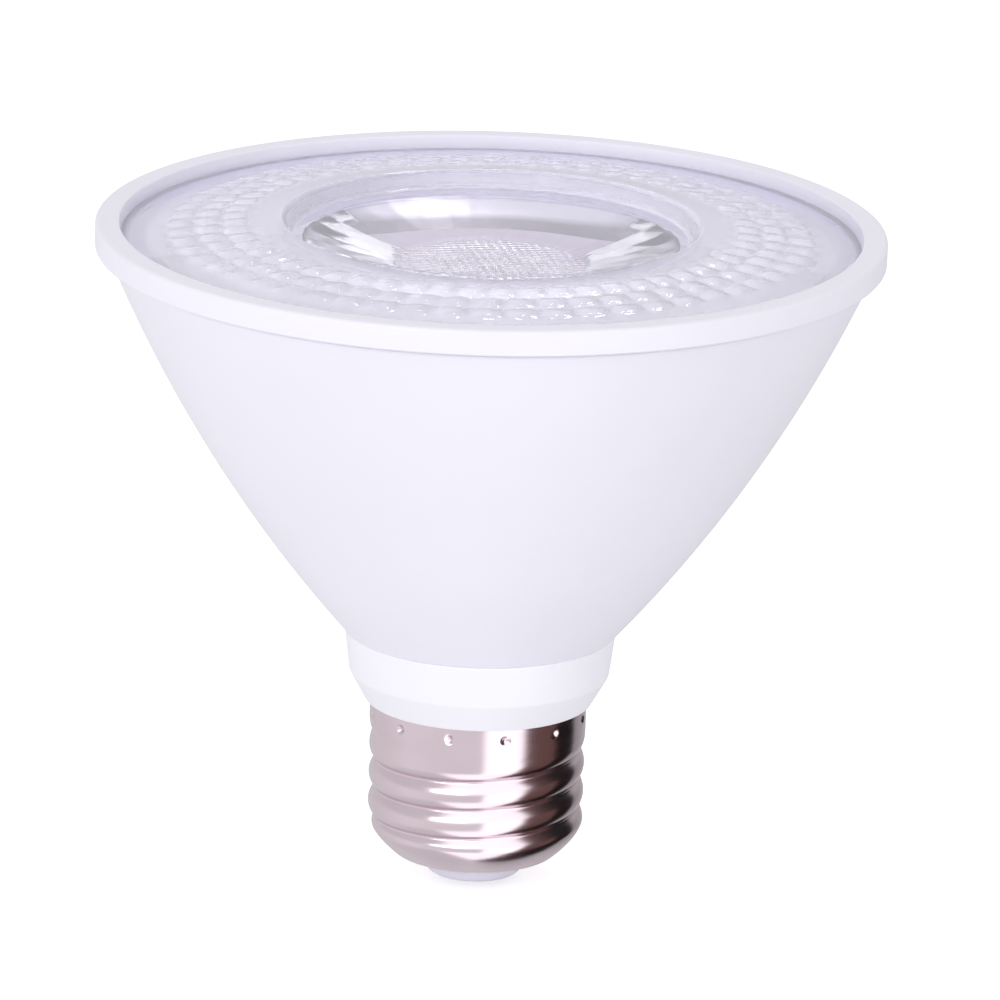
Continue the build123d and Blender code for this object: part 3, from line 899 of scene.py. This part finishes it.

# Finishes of the inner nodes: a name, a light tone, a dark tone, and the gloss where it differs.
# Those of the heat sink are the tones of its rim and of the painted shade round its middle, under the
# reflector body.
INNER_FINISHES = {
    "heat_sink": dish_metal("aluminium", (0.93, 0.93, 0.91), (0.3, 0.29, 0.285), gloss=(0.22, 0.28)),
    "led_board": plastic("solder_mask", (0.78, 0.73, 0.75), (0.73, 0.68, 0.7)),
    "led_chips": plastic("phosphor", (0.92, 0.9, 0.86), (0.89, 0.87, 0.82)),
    "board_screws": metal("screw_steel", (0.62, 0.62, 0.62), (0.5, 0.5, 0.5), (0.25, 0.4)),
    "driver_board": plastic("board_laminate", (0.05, 0.24, 0.09), (0.035, 0.18, 0.065)),
    "transformer_core": plastic("ferrite", (0.075, 0.075, 0.08), (0.05, 0.05, 0.055), (0.5, 0.7)),
    "transformer_winding": plastic("yellow_tape", (0.85, 0.6, 0.08), (0.78, 0.52, 0.05)),
    "input_capacitor": plastic("black_sleeve", (0.03, 0.03, 0.035), (0.02, 0.02, 0.024)),
    "output_capacitor": plastic("grey_sleeve", (0.05, 0.055, 0.07), (0.035, 0.04, 0.05)),
    "film_capacitor": plastic("film_case", (0.55, 0.09, 0.05), (0.47, 0.06, 0.035)),
    "filter_choke": plastic("choke_sleeve", (0.035, 0.04, 0.035), (0.02, 0.025, 0.02)),
    "surge_varistor": plastic("varistor_coat", (0.08, 0.2, 0.5), (0.05, 0.15, 0.42)),
    "fuse_resistor": plastic("resistor_coat", (0.16, 0.34, 0.3), (0.11, 0.27, 0.24)),
    "rectifier": plastic("rectifier_package", (0.035, 0.035, 0.037), (0.022, 0.022, 0.024)),
    "driver_chip": plastic("chip_package", (0.03, 0.03, 0.032), (0.02, 0.02, 0.022)),
    "output_diode": plastic("diode_package", (0.04, 0.04, 0.042), (0.025, 0.025, 0.027)),
    "live_lead": plastic("brown_sleeve", (0.2, 0.085, 0.04), (0.15, 0.06, 0.028)),
    "neutral_lead": plastic("blue_sleeve", (0.04, 0.14, 0.46), (0.028, 0.1, 0.38)),
    "led_lead_positive": plastic("red_sleeve", (0.55, 0.035, 0.03), (0.46, 0.025, 0.02)),
    "led_lead_negative": plastic("black_lead_sleeve", (0.03, 0.03, 0.03), (0.02, 0.02, 0.02)),
}
for name, material in INNER_FINISHES.items():
    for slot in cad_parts[name].material_slots:
        slot.material = material

make_floor()
make_world()
make_lamp(
    "key", azimuth=-30.0, elevation=19.0, distance=1.3, size=(0.9, 0.5), power=3.2, seen_through=False
)
make_lamp(
    "fill", azimuth=50.0, elevation=15.0, distance=1.3, size=(0.5, 0.5), power=0.95,
    mirrored=False, seen_through=False,
)
make_lamp("back", azimuth=166.0, elevation=52.0, distance=1.0, size=(0.08, 0.08), power=0.4)
make_lamp("spark", azimuth=180.0, elevation=48.0, distance=1.0, size=(0.04, 0.04), power=0.1)
make_camera()
bpy.context.scene.view_settings.view_transform = "Standard"
